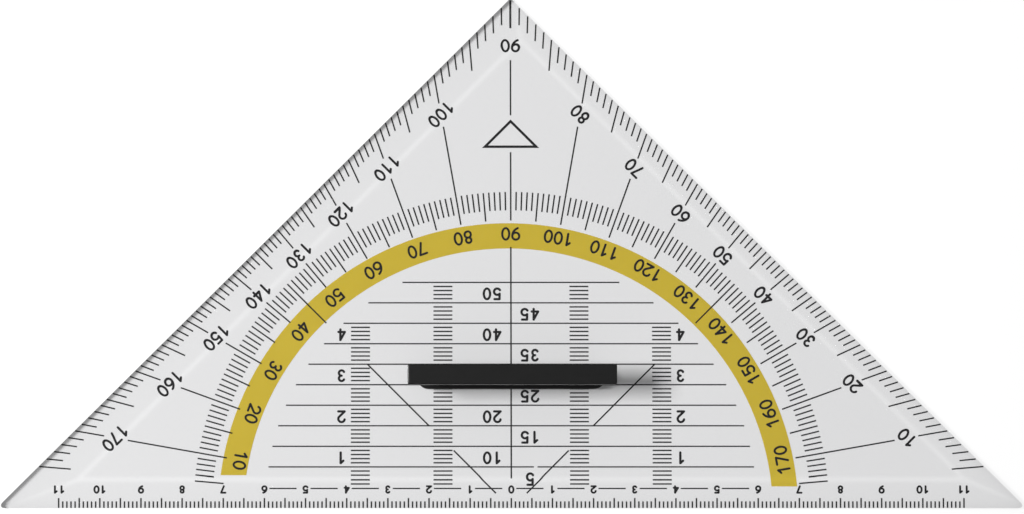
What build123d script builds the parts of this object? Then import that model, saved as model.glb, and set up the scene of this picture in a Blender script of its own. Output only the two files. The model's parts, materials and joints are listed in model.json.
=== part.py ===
"""Drafting set square with a degree scale and a pull-off grip.

The square is a clear 45-45-90 plate, printed on its underside in black with one
yellow band, and lifted by a black grip whose two pegs press into the plate.
Frame: X runs along the ruling edge, Y points to the right-angled corner, Z up.
The origin is the zero mark of the ruler, in the plane of the paper.
"""

import os
from math import cos, radians, sin, sqrt

from build123d import *

os.makedirs("parts", exist_ok=True)

# Plate
ruling_edge = 250.0  # long edge, between its sharp corners
plate_thickness = 2.8
land_thickness = 1.6  # upright face left along every edge
bevel_width = 7.3  # sloping border on the upper face
corner_radius = 0.7

# Print
ink = 0.02  # one printed layer
line_width = 0.34
grid_line_width = 0.31
print_margin = 0.15  # bare strip between the print and the plate's edges

# Ruler
ruler_reach = 110  # millimetres ruled each way from the zero mark
short_tick = 1.75
long_tick = 2.55
ruler_figure_height = 4.65  # middle of the figures above the ruling edge
dash_height = 4.9
dash_start, dash_end = 1.2, 7.8  # to the right of each centimetre figure
dash_reach = 6  # centimetres each way

# Parallel lines
line_pitch = 5
first_line, last_line = 10, 55
line_arc_radius = 59.6  # the lines end on an arc of this radius
line_arc_height = 1.6
inner_column = 14.3, 18.9  # millimetre ticks beside the lines, start and end along X
outer_column = 34.4, 39.0
first_column_tick = 6
inner_column_top, outer_column_top = 54, 44
guide_spans = (3.75, 14.0), (20.0, 35.0)  # 45-degree lines, start and end along X
centre_line_start = 7.3
first_line_gap = 5.5, 6.4  # break in the first line, above the lone 5
line_figure_side = 4.6  # middle of a line's figures, left or right of the centre line
line_figure_rise = 2.2  # and above the line
line_figure_drop = 2.9  # the lone 5 sits below the first line
column_figure_side = 41.3

# Degree scale
band_outer_radius = 70.5
band_inner_radius = 64.3
band_shift = -0.73, -0.97  # the second colour prints a little off the first
band_left_cut, band_right_cut = 8.0, 5.4
ring_outer_radius = 77.2
ring_long_tick = 7.0
ring_short_tick = 4.5
first_degree, last_degree = 5, 175
band_figure_radius = 66.9
guide_stop_radius = 63.7

# Degree marks along the two short edges
edge_short_depth = 3.25
edge_long_depth = 6.1
edge_figure_depth = 8.3
edge_figure_gap = 2.5  # bare ray each side of an edge figure
mark_bottom, mark_top = 87.0, 96.1  # bare stretch of the centre line around the mark
mark_width = 14.0
mark_line_width = 0.6
apex_tick = 7.0

# Grip
grip_place = 31.8  # middle of the grip above the ruling edge
grip_height = 12.0
bar_length = 50.3
bar_width = 4.95
bar_thickness = 2.2
bar_corner = 0.5
foot_length = 46.0  # over its round ends
foot_width = 6.0
foot_thickness = 1.4
web_thickness = 2.2
web_end_step = 2.0  # how far the web stops short of the foot's ends
web_fillet = 0.8
grip_edge_fillet = 0.35
peg_spacing = 21.4
peg_radius = 1.6
peg_clearance = 0.05
peg_recess = 0.15  # how far a peg's tip stays above the plate's underside
peg_slot = 0.7
peg_tip_chamfer = 0.3

# What follows from those sizes
apex_height = ruling_edge / 2
underside = 2 * ink
plate_top = underside + plate_thickness
root2 = sqrt(2)
black_plane = Plane.XY.offset(ink)
peg_places = [(-peg_spacing / 2, grip_place), (peg_spacing / 2, grip_place)]


def edge_radius(degree, depth):
    """Distance from the zero mark to a line parallel to the short edge at this angle."""
    angle = radians(degree)
    return (apex_height - depth * root2) / (abs(cos(angle)) + sin(angle))


def polar(degree, radius):
    return (radius * cos(radians(degree)), radius * sin(radians(degree)), 0)


def radial_line(degree, start, end):
    """A printed line that points at the zero mark, from one radius to another."""
    stroke = Rectangle(end - start, line_width, mode=Mode.PRIVATE)
    return stroke.locate(Location(polar(degree, (start + end) / 2), degree))


# Figures. Each one is drawn with a round pen: w and h are the pen's own travel.


def pen_stroke(pen, *lines):
    """One face that a round pen leaves along joined lines."""
    with BuildSketch(mode=Mode.PRIVATE) as stroke:
        with BuildLine():
            for line in lines:
                add(line)
            offset(amount=pen / 2, side=Side.BOTH, kind=Kind.ARC)
        make_face()
    return stroke.sketch


def pen_ring(pen, radius, height):
    with BuildSketch(mode=Mode.PRIVATE) as ring:
        with Locations((0, height)):
            Circle(radius + pen / 2)
            Circle(radius - pen / 2, mode=Mode.SUBTRACT)
    return ring.sketch


def line(*points):
    return Polyline(*points, mode=Mode.PRIVATE)


def arc(height, radius, start, sweep):
    return CenterArc((0, height), radius, start, sweep, mode=Mode.PRIVATE)


def zero(w, h, pen):
    with BuildSketch(mode=Mode.PRIVATE) as ring:
        Ellipse((w + pen) / 2, (h + pen) / 2)
        Ellipse((w - pen) / 2, (h - pen) / 2, mode=Mode.SUBTRACT)
    return [ring.sketch]


def one(w, h, pen):
    return [pen_stroke(pen, line((-0.3 * w, 0.27 * h), (0.12 * w, h / 2), (0.12 * w, -h / 2)))]


def two(w, h, pen):
    bow = arc((h - w) / 2, w / 2, 170, -218)
    return [pen_stroke(pen, bow, line(bow @ 1, (-w / 2, -h / 2), (w / 2, -h / 2)))]


def three(w, h, pen):
    return [
        pen_stroke(pen, arc(h / 4, h / 4, 155, -245)),
        pen_stroke(pen, arc(-h / 4, h / 4, 90, -245)),
    ]


def four(w, h, pen):
    stem = 0.2 * w
    return [
        pen_stroke(pen, line((stem, h / 2), (-w / 2, -0.26 * h), (w / 2, -0.26 * h))),
        pen_stroke(pen, line((stem, h / 2), (stem, -h / 2))),
    ]


def five(w, h, pen):
    bowl = arc((w - h) / 2, w / 2, 140, -290)
    return [pen_stroke(pen, line((0.42 * w, h / 2), (-0.36 * w, h / 2), bowl @ 0), bowl)]


def six(w, h, pen):
    bowl_height = (w - h) / 2
    tail = TangentArc(
        (-w / 2, bowl_height), (0.28 * w, h / 2), tangent=(0, 1), mode=Mode.PRIVATE
    )
    return [pen_ring(pen, w / 2, bowl_height), pen_stroke(pen, tail)]


def seven(w, h, pen):
    return [pen_stroke(pen, line((-w / 2, h / 2), (w / 2, h / 2), (-0.12 * w, -h / 2)))]


def eight(w, h, pen):
    top, bottom = 0.23 * h, 0.27 * h
    return [pen_ring(pen, top, h / 2 - top), pen_ring(pen, bottom, bottom - h / 2)]


def nine(w, h, pen):
    return [stroke.rotate(Axis.Z, 180) for stroke in six(w, h, pen)]


digit_shapes = zero, one, two, three, four, five, six, seven, eight, nine


class Figures:
    """Ten figures of one height, width and pen, set side by side to print a number."""

    def __init__(self, height, width, pen, advance):
        self.advance = advance
        self.faces = []
        for shape in digit_shapes:
            strokes = shape(width - pen, height - pen, pen)
            with BuildSketch() as digit:
                add(strokes)
            self.faces.append(digit.sketch)

    def place(self, number, at, angle=0):
        """Print a number centred on a point of the sketch that is open."""
        digits = str(number)
        for i, digit in enumerate(digits):
            along = (i - (len(digits) - 1) / 2) * self.advance
            spot = Location(at, angle) * Location((along, 0, 0))
            with Locations(spot):
                add(self.faces[int(digit)])


ruler_style = Figures(height=2.05, width=1.5, pen=0.46, advance=1.6)
line_style = Figures(height=3.15, width=2.1, pen=0.56, advance=2.5)
band_style = Figures(height=3.35, width=2.25, pen=0.54, advance=2.45)
edge_style = Figures(height=3.2, width=2.2, pen=0.54, advance=2.45)


# Clear plate: a full triangle for the land, mitred slopes above it, rounded corners
def triangle(inset=0.0):
    rise = inset
    half = ruling_edge / 2 - inset * (1 + root2)
    return [(-half, rise), (half, rise), (0, apex_height - inset * root2)]


with BuildPart() as set_square_plate:
    with BuildSketch(Plane.XY.offset(underside)):
        Polygon(*triangle(), align=None)
    extrude(amount=land_thickness)
    with BuildSketch(Plane.XY.offset(underside + land_thickness)):
        Polygon(*triangle(), align=None)
    with BuildSketch(Plane.XY.offset(plate_top)):
        Polygon(*triangle(bevel_width), align=None)
    loft()
    with BuildSketch(Plane.XY.offset(underside)) as outline:
        Polygon(*triangle(), align=None)
        fillet(outline.vertices(), corner_radius)
    extrude(amount=plate_thickness, mode=Mode.INTERSECT)
    with BuildSketch(Plane.XY.offset(underside)):
        with Locations(*peg_places):
            Circle(peg_radius + peg_clearance)
    extrude(amount=plate_thickness, mode=Mode.SUBTRACT)
set_square_plate.part.label = "set_square_plate"
export_step(set_square_plate.part, "parts/set_square_plate.step")


# Grip: foot, web and bar in one moulding, with two slotted pegs below
foot_top = plate_top + foot_thickness
bar_bottom = plate_top + grip_height - bar_thickness
web_length = foot_length - 2 * web_end_step

with BuildPart() as grip_handle:
    with BuildSketch(Plane.XY.offset(plate_top)):
        with Locations((0, grip_place)):
            SlotOverall(foot_length, foot_width)
    extrude(amount=foot_thickness)
    fillet(grip_handle.faces().sort_by(Axis.Z)[-1].edges(), grip_edge_fillet)
    with BuildSketch(Plane.XY.offset(foot_top)):
        with Locations((0, grip_place)):
            SlotOverall(web_length, web_thickness)
    extrude(amount=bar_bottom - foot_top)
    web_base = grip_handle.edges(Select.LAST).filter_by_position(Axis.Z, foot_top, foot_top)
    fillet(web_base, web_fillet)
    with BuildSketch(Plane.XY.offset(bar_bottom)):
        with Locations((0, grip_place)):
            RectangleRounded(bar_length, bar_width, bar_corner)
    extrude(amount=bar_thickness)
    bar_edges = grip_handle.edges().filter_by_position(Axis.Z, bar_bottom, bar_bottom)
    web_head = bar_edges.filter_by_position(
        Axis.X, -web_length / 2, web_length / 2
    ).filter_by_position(
        Axis.Y, grip_place - web_thickness / 2, grip_place + web_thickness / 2
    )
    fillet(web_head, web_fillet)
    bar_faces = grip_handle.faces().filter_by(GeomType.PLANE).sort_by(Axis.Z)
    fillet(bar_faces[-1].edges(), grip_edge_fillet)
    with BuildSketch(Plane.XY.offset(plate_top)):
        with Locations(*peg_places):
            Circle(peg_radius)
    extrude(amount=peg_recess - plate_thickness)
    peg_tips = grip_handle.faces().filter_by(GeomType.PLANE).sort_by(Axis.Z)[:2]
    chamfer(peg_tips.edges(), peg_tip_chamfer)
    with BuildSketch(Plane.XY.offset(underside)):
        with Locations(*peg_places):
            Rectangle(peg_slot, 2 * peg_radius)
    extrude(amount=plate_thickness, mode=Mode.SUBTRACT)
grip_handle.part.label = "grip_handle"
export_step(grip_handle.part, "parts/grip_handle.step")


# Yellow band behind the inner figures, the lower of the two printed layers
with BuildPart() as yellow_degree_band:
    with BuildSketch():
        with Locations(band_shift):
            Circle(band_outer_radius)
            Circle(band_inner_radius, mode=Mode.SUBTRACT)
        with Locations((0, band_right_cut)):
            Rectangle(
                ruling_edge, ruling_edge, align=(Align.CENTER, Align.MAX), mode=Mode.SUBTRACT
            )
        with Locations((0, band_left_cut)):
            Rectangle(ruling_edge, ruling_edge, align=Align.MAX, mode=Mode.SUBTRACT)
    extrude(amount=ink)
yellow_degree_band.part.label = "yellow_degree_band"
export_step(yellow_degree_band.part, "parts/yellow_degree_band.step")


# Ruler: millimetre ticks, longer at every fifth one
with BuildPart() as ruler_ticks:
    with BuildSketch(black_plane):
        for length in (short_tick, long_tick):
            marks = range(-ruler_reach, ruler_reach + 1)
            chosen = [x for x in marks if (x % 5 == 0) == (length == long_tick)]
            with Locations(*[(x, print_margin) for x in chosen]):
                Rectangle(
                    line_width, length - print_margin, align=(Align.CENTER, Align.MIN)
                )
    extrude(amount=ink)
ruler_ticks.part.label = "ruler_ticks"
export_step(ruler_ticks.part, "parts/ruler_ticks.step")

with BuildPart() as ruler_figures:
    with BuildSketch(black_plane):
        for x in range(-ruler_reach, ruler_reach + 1, 10):
            ruler_style.place(abs(x) // 10, (x, ruler_figure_height), 180)
    extrude(amount=ink)
ruler_figures.part.label = "ruler_figures"
export_step(ruler_figures.part, "parts/ruler_figures.step")


# Parallel lines every five millimetres, with the centre line and the 45-degree lines
with BuildPart() as parallel_lines:
    with BuildSketch(black_plane):
        for y in range(first_line, last_line + 1, line_pitch):
            half = sqrt(line_arc_radius**2 - (y - line_arc_height) ** 2)
            with Locations((0, y)):
                Rectangle(2 * half, grid_line_width)
        gap_start, gap_end = first_line_gap
        with Locations(((gap_start + gap_end) / 2, first_line)):
            Rectangle(gap_end - gap_start, 2 * grid_line_width, mode=Mode.SUBTRACT)
        dash_middle = (dash_start + dash_end) / 2
        dashes = [10 * n + dash_middle for n in range(-dash_reach, dash_reach)]
        with Locations(*[(x, dash_height) for x in dashes]):
            Rectangle(dash_end - dash_start, grid_line_width)
        add(radial_line(90, centre_line_start, guide_stop_radius))
        for degree in (45, 135):
            add([radial_line(degree, x1 * root2, x2 * root2) for x1, x2 in guide_spans])
    extrude(amount=ink)
parallel_lines.part.label = "parallel_lines"
export_step(parallel_lines.part, "parts/parallel_lines.step")

with BuildPart() as millimetre_columns:
    with BuildSketch(black_plane):
        columns = (inner_column, inner_column_top), (outer_column, outer_column_top)
        for (start, end), top in columns:
            heights = [y for y in range(first_column_tick, top + 1) if y % line_pitch]
            middle = (start + end) / 2
            with Locations(*[(side * middle, y) for y in heights for side in (-1, 1)]):
                Rectangle(end - start, line_width)
    extrude(amount=ink)
millimetre_columns.part.label = "millimetre_columns"
export_step(millimetre_columns.part, "parts/millimetre_columns.step")


# Figures that number the parallel lines, and the centimetre figures at the outer columns
with BuildPart() as line_figures:
    with BuildSketch(black_plane):
        line_style.place(5, (line_figure_side, first_line - line_figure_drop), 180)
        for y in range(first_line, last_line - line_pitch + 1, line_pitch):
            side = -1 if y % 10 == 0 else 1
            line_style.place(y, (side * line_figure_side, y + line_figure_rise), 180)
    extrude(amount=ink)
line_figures.part.label = "line_figures"
export_step(line_figures.part, "parts/line_figures.step")

with BuildPart() as column_figures:
    with BuildSketch(black_plane):
        for number in (1, 2, 3, 4):
            for side in (-1, 1):
                at = side * column_figure_side, 10 * number + line_figure_rise
                line_style.place(number, at, 180)
    extrude(amount=ink)
column_figures.part.label = "column_figures"
export_step(column_figures.part, "parts/column_figures.step")


# Degree scale: a ring of ticks, rays every ten degrees, and the figures on the band
def ring_tick(degree):
    """A tick of the inner scale. The two at 45 degrees to the ruler cross the band."""
    if degree in (45, 135):
        return radial_line(degree, guide_stop_radius, ring_outer_radius)
    length = ring_short_tick if degree % 5 else ring_long_tick
    return radial_line(degree, ring_outer_radius - length, ring_outer_radius)


with BuildPart() as degree_ring_ticks:
    with BuildSketch(black_plane):
        scale = range(first_degree, last_degree + 1)
        add([ring_tick(degree) for degree in scale if degree % 10])
    extrude(amount=ink)
degree_ring_ticks.part.label = "degree_ring_ticks"
export_step(degree_ring_ticks.part, "parts/degree_ring_ticks.step")

with BuildPart() as degree_rays:
    with BuildSketch(black_plane):
        start = ring_outer_radius - ring_long_tick
        for degree in range(10, 180, 10):
            end = edge_radius(degree, edge_figure_depth + edge_figure_gap)
            if degree == 90:
                add(radial_line(degree, start, mark_bottom))
                add(radial_line(degree, mark_top, end))
            else:
                add(radial_line(degree, start, end))
    extrude(amount=ink)
degree_rays.part.label = "degree_rays"
export_step(degree_rays.part, "parts/degree_rays.step")

with BuildPart() as band_figures:
    with BuildSketch(black_plane):
        for degree in range(10, 180, 10):
            at = polar(degree, band_figure_radius)
            band_style.place(180 - degree, at, degree + 90)
    extrude(amount=ink)
band_figures.part.label = "band_figures"
export_step(band_figures.part, "parts/band_figures.step")


# Degree marks and figures along the two short edges
def edge_tick(degree):
    if degree == 90:
        end = apex_height - corner_radius * (root2 - 1) - print_margin
        return radial_line(degree, end - apex_tick, end)
    depth = edge_short_depth if degree % 5 else edge_long_depth
    return radial_line(degree, edge_radius(degree, depth), edge_radius(degree, print_margin))


with BuildPart() as edge_degree_ticks:
    with BuildSketch(black_plane):
        add([edge_tick(degree) for degree in range(first_degree, last_degree + 1)])
    extrude(amount=ink)
edge_degree_ticks.part.label = "edge_degree_ticks"
export_step(edge_degree_ticks.part, "parts/edge_degree_ticks.step")

with BuildPart() as edge_figures:
    with BuildSketch(black_plane):
        for degree in range(10, 180, 10):
            at = polar(degree, edge_radius(degree, edge_figure_depth))
            turn = 180 if degree == 90 else 135 if degree < 90 else 225
            edge_style.place(degree, at, turn)
    extrude(amount=ink)
edge_figures.part.label = "edge_figures"
export_step(edge_figures.part, "parts/edge_figures.step")


# A plain mark on the centre line: the outline of a set square
with BuildPart() as plain_mark:
    with BuildSketch(black_plane):
        mark_middle = (mark_bottom + mark_top) / 2
        half_mark = mark_width / 2
        with Locations((0, mark_middle - half_mark / 2)):
            Polygon((-half_mark, 0), (half_mark, 0), (0, half_mark), align=None)
            offset(amount=-mark_line_width, kind=Kind.INTERSECTION, mode=Mode.SUBTRACT)
    extrude(amount=ink)
plain_mark.part.label = "plain_mark"
export_step(plain_mark.part, "parts/plain_mark.step")
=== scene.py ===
# %% [markdown]
# # A clear set square with a black grip
# The object is a moulded plate of clear plastic, printed on its underside, and a black grip
# that pulls off. The frame already holds every piece at its real size. This script gives the
# pieces their finish, softens the plate's creases as a mould does, and sets up a plain studio.

# %% Load the frame
import json
from math import atan2, cos, radians, sin, sqrt

import bmesh
import bpy
from mathutils import Matrix, Vector


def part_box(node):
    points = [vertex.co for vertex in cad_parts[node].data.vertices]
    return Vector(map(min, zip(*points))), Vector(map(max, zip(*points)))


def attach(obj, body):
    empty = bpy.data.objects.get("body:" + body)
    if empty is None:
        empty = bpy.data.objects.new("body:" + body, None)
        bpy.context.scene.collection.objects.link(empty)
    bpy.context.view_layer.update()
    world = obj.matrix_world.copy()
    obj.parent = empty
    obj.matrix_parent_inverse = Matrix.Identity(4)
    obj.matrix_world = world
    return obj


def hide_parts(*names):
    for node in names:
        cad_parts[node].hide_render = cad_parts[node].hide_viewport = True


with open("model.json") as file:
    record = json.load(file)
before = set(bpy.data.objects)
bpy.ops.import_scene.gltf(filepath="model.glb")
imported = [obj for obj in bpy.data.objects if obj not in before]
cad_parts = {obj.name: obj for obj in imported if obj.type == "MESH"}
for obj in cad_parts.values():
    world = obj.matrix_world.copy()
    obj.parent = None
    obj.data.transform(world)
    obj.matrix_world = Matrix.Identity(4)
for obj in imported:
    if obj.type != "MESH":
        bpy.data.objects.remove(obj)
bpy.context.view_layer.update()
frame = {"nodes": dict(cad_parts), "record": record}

nodes = frame["nodes"]
plate_low, plate_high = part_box("set_square_plate")
MM = 0.001
print("nodes:", len(nodes), "plate:", [round(v / MM, 2) for v in plate_high - plate_low])

# %% [markdown]
# ## Camera
# A set square is looked at from above, where its scales can be read. A long lens
# from nearly a metre keeps the three sides straight. The camera leans a few degrees towards the
# ruling edge, which is why the grip's foot shows below its bar. It also stands a little to the
# left. Its lens is shifted to bring the plate back to the middle, because turning the camera
# would tilt the ruling edge and make one corner smaller than the other.

# %% Camera
camera_distance = 900 * MM
camera_lean = radians(5)
side_step = 22 * MM
aim = Vector((0.32 * MM, 61.31 * MM, 0))
back = Vector((0, -sin(camera_lean), cos(camera_lean)))

camera_data = bpy.data.cameras.new("camera")
camera_data.sensor_width = 36
camera_data.lens = 129.36
camera_data.shift_x = side_step / camera_distance * camera_data.lens / camera_data.sensor_width
camera_data.clip_start = 0.01
camera = bpy.data.objects.new("camera", camera_data)
camera.rotation_mode = "QUATERNION"
camera.rotation_quaternion = (-back).to_track_quat("-Z", "Y")
camera.location = aim + back * camera_distance - Vector((side_step, 0, 0))
bpy.context.scene.collection.objects.link(camera)
bpy.context.scene.camera = camera
print("camera height:", round(camera.location.z, 3))

# %% [markdown]
# ## Floor and light
# The floor is a plain white sheet. One large soft lamp stands high on the left, so the grip
# throws a soft shadow to the right. The sky is a weak even grey: a bright one would be mirrored
# in the plate's upper face and turn the black print grey.

# %% Floor
floor_drop = 0.01 * MM
floor_size = 6.0

floor_shape = bmesh.new()
bmesh.ops.create_grid(floor_shape, x_segments=1, y_segments=1, size=floor_size / 2)
bmesh.ops.translate(floor_shape, verts=floor_shape.verts, vec=(0, 0, -floor_drop))
floor_mesh = bpy.data.meshes.new("floor")
floor_shape.to_mesh(floor_mesh)
floor_shape.free()
floor = bpy.data.objects.new("floor", floor_mesh)
bpy.context.scene.collection.objects.link(floor)

paper = bpy.data.materials.new("white_sheet")
paper.use_nodes = True
paper.node_tree.nodes["Principled BSDF"].inputs["Base Color"].default_value = (0.9, 0.9, 0.9, 1)
paper.node_tree.nodes["Principled BSDF"].inputs["Roughness"].default_value = 0.9
paper.node_tree.nodes["Principled BSDF"].inputs["Specular IOR Level"].default_value = 0.1
floor_mesh.materials.append(paper)
print("floor:", floor_size, "m")


# %% Lamps
def soft_lamp(name, direction, distance, size, power):
    """A square lamp that looks at the middle of the plate from a direction."""
    lamp_data = bpy.data.lights.new(name, "AREA")
    lamp_data.size = size
    lamp_data.energy = power
    lamp = bpy.data.objects.new(name, lamp_data)
    towards = Vector(direction).normalized()
    lamp.location = aim + towards * distance
    lamp.rotation_mode = "QUATERNION"
    lamp.rotation_quaternion = (-towards).to_track_quat("-Z", "Y")
    bpy.context.scene.collection.objects.link(lamp)
    print(name, [round(v, 2) for v in lamp.location])


soft_lamp("key_lamp", (-0.64, 0.05, 0.76), distance=2.5, size=0.75, power=76)

sky = bpy.data.worlds.new("even_grey")
sky.use_nodes = True
sky.node_tree.nodes["Background"].inputs["Color"].default_value = (1, 1, 1, 1)
sky.node_tree.nodes["Background"].inputs["Strength"].default_value = 0.28
bpy.context.scene.world = sky
bpy.context.scene.view_settings.view_transform = "Standard"

# %% [markdown]
# ## Rounded creases for the plate
# A mould can't leave a knife-sharp crease. Where the flat top meets the three slopes, and where
# two slopes meet, the plate is polished to a small radius, and light catches it as a faint
# line. The plate is made again here as it could be cut from a sheet: a triangle has its corners
# rounded, is extruded to the full thickness, and loses its three borders to slanting cuts. The
# creases that the cuts leave are then bevelled.

# %% The plate's sizes
ruling_edge = 250 * MM
land_thickness = 1.6 * MM
bevel_width = 7.3 * MM
corner_radius = 0.7 * MM
hole_radius = 1.65 * MM
hole_spacing = 21.4 * MM
grip_low, grip_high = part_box("grip_handle")
hole_y = (grip_low.y + grip_high.y) / 2
hole_places = [(side * hole_spacing / 2, hole_y) for side in (-1, 1)]

half = ruling_edge / 2
corners = [Vector((x, y, plate_low.z)) for x, y in ((-half, 0), (half, 0), (0, half))]
thickness = plate_high.z - plate_low.z
print("thickness:", round(thickness / MM, 3))

# %% [markdown]
# A vertex bevel rounds a flat corner. Its offset runs along the sides, so it is worked out from
# how deep a round of the real radius cuts into the corner.

# %% A triangle with rounded corners
arc_share = 2 - sqrt(2)
shape = bmesh.new()
tips = [shape.verts.new(corner) for corner in corners]
shape.faces.new(tips)
for tip, angle in zip(tips, (45, 45, 90)):
    half_angle = radians(angle / 2)
    tip_depth = corner_radius * (1 / sin(half_angle) - 1)
    bmesh.ops.bevel(
        shape,
        geom=[tip],
        offset=tip_depth / (arc_share * cos(half_angle)),
        offset_type="OFFSET",
        affect="VERTICES",
        segments=12,
        profile=0.5,
        material=-1,
        clamp_overlap=False,
    )
print("outline:", len(shape.verts), "points")

# %% Extrude it to the full thickness
raised = bmesh.ops.extrude_face_region(shape, geom=list(shape.faces))["geom"]
raised_points = [item for item in raised if isinstance(item, bmesh.types.BMVert)]
bmesh.ops.translate(shape, verts=raised_points, vec=(0, 0, thickness))

# %% Cut the three slopes
up = Vector((0, 0, 1))
rise = thickness - land_thickness
for corner, following in zip(corners, corners[1:] + corners[:1]):
    inward = up.cross((following - corner).normalized())
    cut = bmesh.ops.bisect_plane(
        shape,
        geom=list(shape.verts) + list(shape.edges) + list(shape.faces),
        plane_co=corner + up * land_thickness,
        plane_no=(up * bevel_width - inward * rise).normalized(),
        clear_outer=True,
    )
    cut_edges = [item for item in cut["geom_cut"] if isinstance(item, bmesh.types.BMEdge)]
    bmesh.ops.edgeloop_fill(shape, edges=cut_edges)
bmesh.ops.recalc_face_normals(shape, faces=shape.faces)
print("plate:", len(shape.faces), "faces")

# %% Bevel the creases
crease_offset = 0.4 * MM
shape.normal_update()
creases = [e for e in shape.edges if all(f.normal.z > 0.5 for f in e.link_faces)]
print("creases:", len(creases))
bmesh.ops.bevel(
    shape,
    geom=creases,
    offset=crease_offset,
    offset_type="OFFSET",
    affect="EDGES",
    segments=4,
    profile=0.5,
    material=-1,
    clamp_overlap=False,
)


# %% Cut the two peg holes
def ring(height, place):
    """The edges of one circle of a peg hole."""
    where = Matrix.Translation((*place, height))
    circle = bmesh.ops.create_circle(
        shape, cap_ends=False, segments=64, radius=hole_radius, matrix=where
    )
    return list({edge for vertex in circle["verts"] for edge in vertex.link_edges})


shape.normal_update()
flat_top = max((f for f in shape.faces if f.normal.z > 0.9999), key=lambda f: f.calc_area())
flat_bottom = max((f for f in shape.faces if f.normal.z < -0.9999), key=lambda f: f.calc_area())
top_border, bottom_border = list(flat_top.edges), list(flat_bottom.edges)
bmesh.ops.delete(shape, geom=[flat_top, flat_bottom], context="FACES_ONLY")
for place in hole_places:
    high_ring, low_ring = ring(plate_high.z, place), ring(plate_low.z, place)
    bmesh.ops.bridge_loops(shape, edges=high_ring + low_ring)
    top_border += high_ring
    bottom_border += low_ring
for border in (top_border, bottom_border):
    bmesh.ops.triangle_fill(shape, use_beauty=True, edges=border, normal=(0, 0, 1))
bmesh.ops.recalc_face_normals(shape, faces=shape.faces)
print("open edges:", sum(not edge.is_manifold for edge in shape.edges))

# %% Put the copy in the plate's place
plate_mesh = bpy.data.meshes.new("clear_plate")
shape.to_mesh(plate_mesh)
shape.free()
clear_plate = bpy.data.objects.new("clear_plate", plate_mesh)
bpy.context.scene.collection.objects.link(clear_plate)
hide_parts("set_square_plate")
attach(clear_plate, "square")
print("copy:", [round(v / MM, 3) for v in clear_plate.dimensions])


# %% [markdown]
# ## Fine mottle, an effect that several finishes share
# No moulded or printed surface is perfectly even. A node group makes a coarse and a fine
# variation from the object's own coordinates, and each material uses it at its own scale.


# %% Group: fine mottle
fine_ratio = 12  # how many times smaller the fine variation is than the coarse one


def build_mottle():
    group = bpy.data.node_groups.new("fine_mottle", "ShaderNodeTree")
    scale = group.interface.new_socket("Scale", in_out="INPUT", socket_type="NodeSocketFloat")
    scale.default_value = 200
    group.interface.new_socket("Coarse", in_out="OUTPUT", socket_type="NodeSocketFloat")
    group.interface.new_socket("Fine", in_out="OUTPUT", socket_type="NodeSocketFloat")
    tree = group.nodes
    source = tree.new("NodeGroupInput")
    result = tree.new("NodeGroupOutput")
    place = tree.new("ShaderNodeTexCoord")
    finer = tree.new("ShaderNodeMath")
    finer.operation = "MULTIPLY"
    finer.inputs[1].default_value = fine_ratio
    group.links.new(source.outputs["Scale"], finer.inputs[0])
    sizes = {"Coarse": source.outputs["Scale"], "Fine": finer.outputs[0]}
    for name, size in sizes.items():
        noise = tree.new("ShaderNodeTexNoise")
        noise.inputs["Detail"].default_value = 3
        group.links.new(place.outputs["Object"], noise.inputs["Vector"])
        group.links.new(size, noise.inputs["Scale"])
        group.links.new(noise.outputs["Fac"], result.inputs[name])
    return group


mottle = build_mottle()
print("group:", mottle.name)


# %% Helpers for materials
def start_material(name):
    """A new material with its Principled node and one mottle group."""
    material = bpy.data.materials.new(name)
    material.use_nodes = True
    shader = material.node_tree.nodes["Principled BSDF"]
    effect = material.node_tree.nodes.new("ShaderNodeGroup")
    effect.node_tree = mottle
    return material, shader, effect


def ramp(material, value, low, high, socket):
    """Map an uneven value to a range of numbers on a socket."""
    spread = material.node_tree.nodes.new("ShaderNodeMapRange")
    spread.inputs["From Min"].default_value = 0.3
    spread.inputs["From Max"].default_value = 0.7
    spread.inputs["To Min"].default_value = low
    spread.inputs["To Max"].default_value = high
    material.node_tree.links.new(value, spread.inputs["Value"])
    material.node_tree.links.new(spread.outputs["Result"], socket)


def blend_colours(material, value, first, second, socket):
    """Mix two colours by an uneven value."""
    mix = material.node_tree.nodes.new("ShaderNodeMix")
    mix.data_type = "RGBA"
    mix.inputs["A"].default_value = (*first, 1)
    mix.inputs["B"].default_value = (*second, 1)
    material.node_tree.links.new(value, mix.inputs["Factor"])
    material.node_tree.links.new(mix.outputs["Result"], socket)


def add_bump(material, value, shader, strength, depth):
    bump = material.node_tree.nodes.new("ShaderNodeBump")
    bump.inputs["Strength"].default_value = strength
    bump.inputs["Distance"].default_value = depth
    material.node_tree.links.new(value, bump.inputs["Height"])
    material.node_tree.links.new(bump.outputs["Normal"], shader.inputs["Normal"])


def finish_node(node_name, material):
    mesh = nodes[node_name].data
    mesh.materials.clear()
    mesh.materials.append(material)


# %% [markdown]
# ## Clear plastic
# The plate is polished clear plastic with an index near 1.49. A camera ray bends through it as
# in the real one. A lamp's light, though, would have to be found through the bent surface by
# chance, which is noisy, so rays on their way to a lamp or bounced off the paper pass straight
# through and are only dimmed. How much depends on the tilt of the surface: light that should
# leave by the upright rim is mostly turned away, which leaves a dark line just inside the lit
# side, and the polished creases let a little more light through than the flat faces. A ray
# caught inside the plate is let out after a few turns, as it would otherwise end as black.


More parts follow.
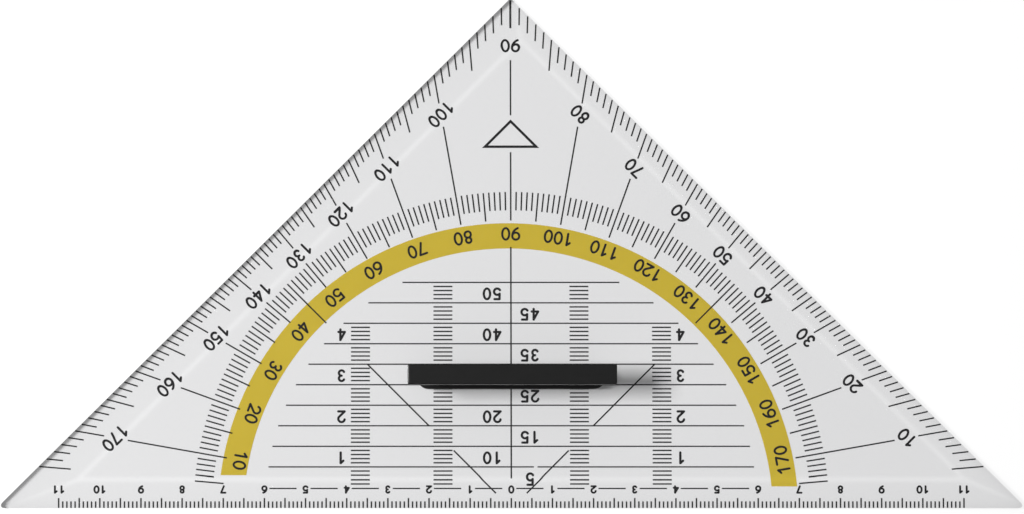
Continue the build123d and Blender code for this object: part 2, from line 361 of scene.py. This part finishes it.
# %% Helper: a colour for each tilt
def by_tilt(material, tilt, *stops):
    """Pick a colour by how far a surface tilts. A stop is where its colour starts."""
    picker = material.node_tree.nodes.new("ShaderNodeValToRGB")
    picker.color_ramp.interpolation = "CONSTANT"
    picker.color_ramp.elements.remove(picker.color_ramp.elements[1])
    picker.color_ramp.elements[0].color = stops[0][1]
    for position, colour in stops[1:]:
        picker.color_ramp.elements.new(position).color = colour
    material.node_tree.links.new(tilt, picker.inputs["Fac"])
    return picker.outputs["Color"]


# %% Material: clear plastic
most_turns = 4.5

# Tilts are shares of the steepest one that is told apart. The flat faces come first, then the
# rounded creases, the slopes, and last the upright rim. The slopes start a little short of
# their own tilt, so that none of them is missed.
steepest = 0.3  # radians
crease_start = 0.05
slope_start = 0.95 * atan2(rise, bevel_width) / steepest
rim_start = 0.99


def clear_plastic():
    material, shader, effect = start_material("clear_plastic")
    tree = material.node_tree
    effect.inputs["Scale"].default_value = 12
    tint = (0.982, 0.983, 0.988)
    warmer_tint = (0.985, 0.984, 0.986)
    blend_colours(material, effect.outputs["Coarse"], tint, warmer_tint, shader.inputs["Base Color"])
    ramp(material, effect.outputs["Fine"], 0.0, 0.025, shader.inputs["Roughness"])
    shader.inputs["IOR"].default_value = 1.49
    shader.inputs["Transmission Weight"].default_value = 1

    facing = tree.nodes.new("ShaderNodeNewGeometry")
    axes = tree.nodes.new("ShaderNodeSeparateXYZ")
    tree.links.new(facing.outputs["Normal"], axes.inputs["Vector"])
    level = tree.nodes.new("ShaderNodeMath")
    level.operation = "ABSOLUTE"
    tree.links.new(axes.outputs["Z"], level.inputs[0])
    angle = tree.nodes.new("ShaderNodeMath")
    angle.operation = "ARCCOSINE"
    tree.links.new(level.outputs[0], angle.inputs[0])
    tilt = tree.nodes.new("ShaderNodeMath")
    tilt.operation = "DIVIDE"
    tilt.inputs[1].default_value = steepest
    tree.links.new(angle.outputs[0], tilt.inputs[0])

    face = (0.862, 0.862, 0.864, 1)
    dark_rim = (0.2, 0.2, 0.2, 1)
    clear = (1, 1, 1, 1)
    entering = by_tilt(material, tilt.outputs[0], (0, face), (rim_start, clear))
    leaving = by_tilt(
        material, tilt.outputs[0],
        (0, face), (crease_start, clear), (slope_start, face), (rim_start, dark_rim),
    )
    dimming = tree.nodes.new("ShaderNodeMix")
    dimming.data_type = "RGBA"
    tree.links.new(facing.outputs["Backfacing"], dimming.inputs["Factor"])
    tree.links.new(entering, dimming.inputs["A"])
    tree.links.new(leaving, dimming.inputs["B"])
    dimmed = tree.nodes.new("ShaderNodeBsdfTransparent")
    tree.links.new(dimming.outputs["Result"], dimmed.inputs["Color"])

    path = tree.nodes.new("ShaderNodeLightPath")
    straight = tree.nodes.new("ShaderNodeMath")
    straight.operation = "MAXIMUM"
    tree.links.new(path.outputs["Is Shadow Ray"], straight.inputs[0])
    tree.links.new(path.outputs["Is Diffuse Ray"], straight.inputs[1])
    caught = tree.nodes.new("ShaderNodeMath")
    caught.operation = "GREATER_THAN"
    caught.inputs[1].default_value = most_turns
    tree.links.new(path.outputs["Ray Depth"], caught.inputs[0])
    through = tree.nodes.new("ShaderNodeMath")
    through.operation = "MAXIMUM"
    tree.links.new(straight.outputs[0], through.inputs[0])
    tree.links.new(caught.outputs[0], through.inputs[1])
    choose = tree.nodes.new("ShaderNodeMixShader")
    tree.links.new(through.outputs[0], choose.inputs["Fac"])
    tree.links.new(shader.outputs["BSDF"], choose.inputs[1])
    tree.links.new(dimmed.outputs["BSDF"], choose.inputs[2])
    tree.links.new(choose.outputs["Shader"], tree.nodes["Material Output"].inputs["Surface"])
    return material


plate_mesh.materials.append(clear_plastic())
print("material:", plate_mesh.materials[0].name)

# %% [markdown]
# ## Printing inks
# The scales are screen printed: a thin opaque film, a little uneven in tone, seen through the
# plate. Both inks share one recipe, and only their two tones differ.


# %% Materials: inks
def ink(name, tone, second_tone, scale):
    material, shader, effect = start_material(name)
    effect.inputs["Scale"].default_value = scale
    blend_colours(material, effect.outputs["Coarse"], tone, second_tone, shader.inputs["Base Color"])
    ramp(material, effect.outputs["Fine"], 0.45, 0.65, shader.inputs["Roughness"])
    shader.inputs["Specular IOR Level"].default_value = 0.2
    return material


black_ink = ink("black_ink", (0.006, 0.006, 0.007), (0.014, 0.014, 0.016), scale=900)
yellow_ink = ink("yellow_ink", (0.62, 0.455, 0.02), (0.66, 0.49, 0.027), scale=160)
slots = {part["node"]: part["material_slot"] for part in frame["record"]["subparts"]}
for node_name, slot in slots.items():
    if slot == "black_ink":
        finish_node(node_name, black_ink)
    if slot == "yellow_ink":
        finish_node(node_name, yellow_ink)
print("printed nodes:", sum(slot.endswith("ink") for slot in slots.values()))

# %% [markdown]
# ## Black plastic
# The grip is a satin moulding. A fine grain breaks its highlights, and its rounded edges,
# which are real shape from the frame, catch the lamp as soft lines.


# %% Material: black plastic
def black_plastic():
    material, shader, effect = start_material("black_plastic")
    effect.inputs["Scale"].default_value = 350
    blend_colours(
        material, effect.outputs["Coarse"], (0.001, 0.001, 0.001), (0.003, 0.003, 0.003),
        shader.inputs["Base Color"],
    )
    ramp(material, effect.outputs["Fine"], 0.3, 0.42, shader.inputs["Roughness"])
    shader.inputs["Specular IOR Level"].default_value = 0.4
    add_bump(material, effect.outputs["Fine"], shader, strength=0.2, depth=0.02 * MM)
    return material


finish_node("grip_handle", black_plastic())
print("material:", nodes["grip_handle"].data.materials[0].name)
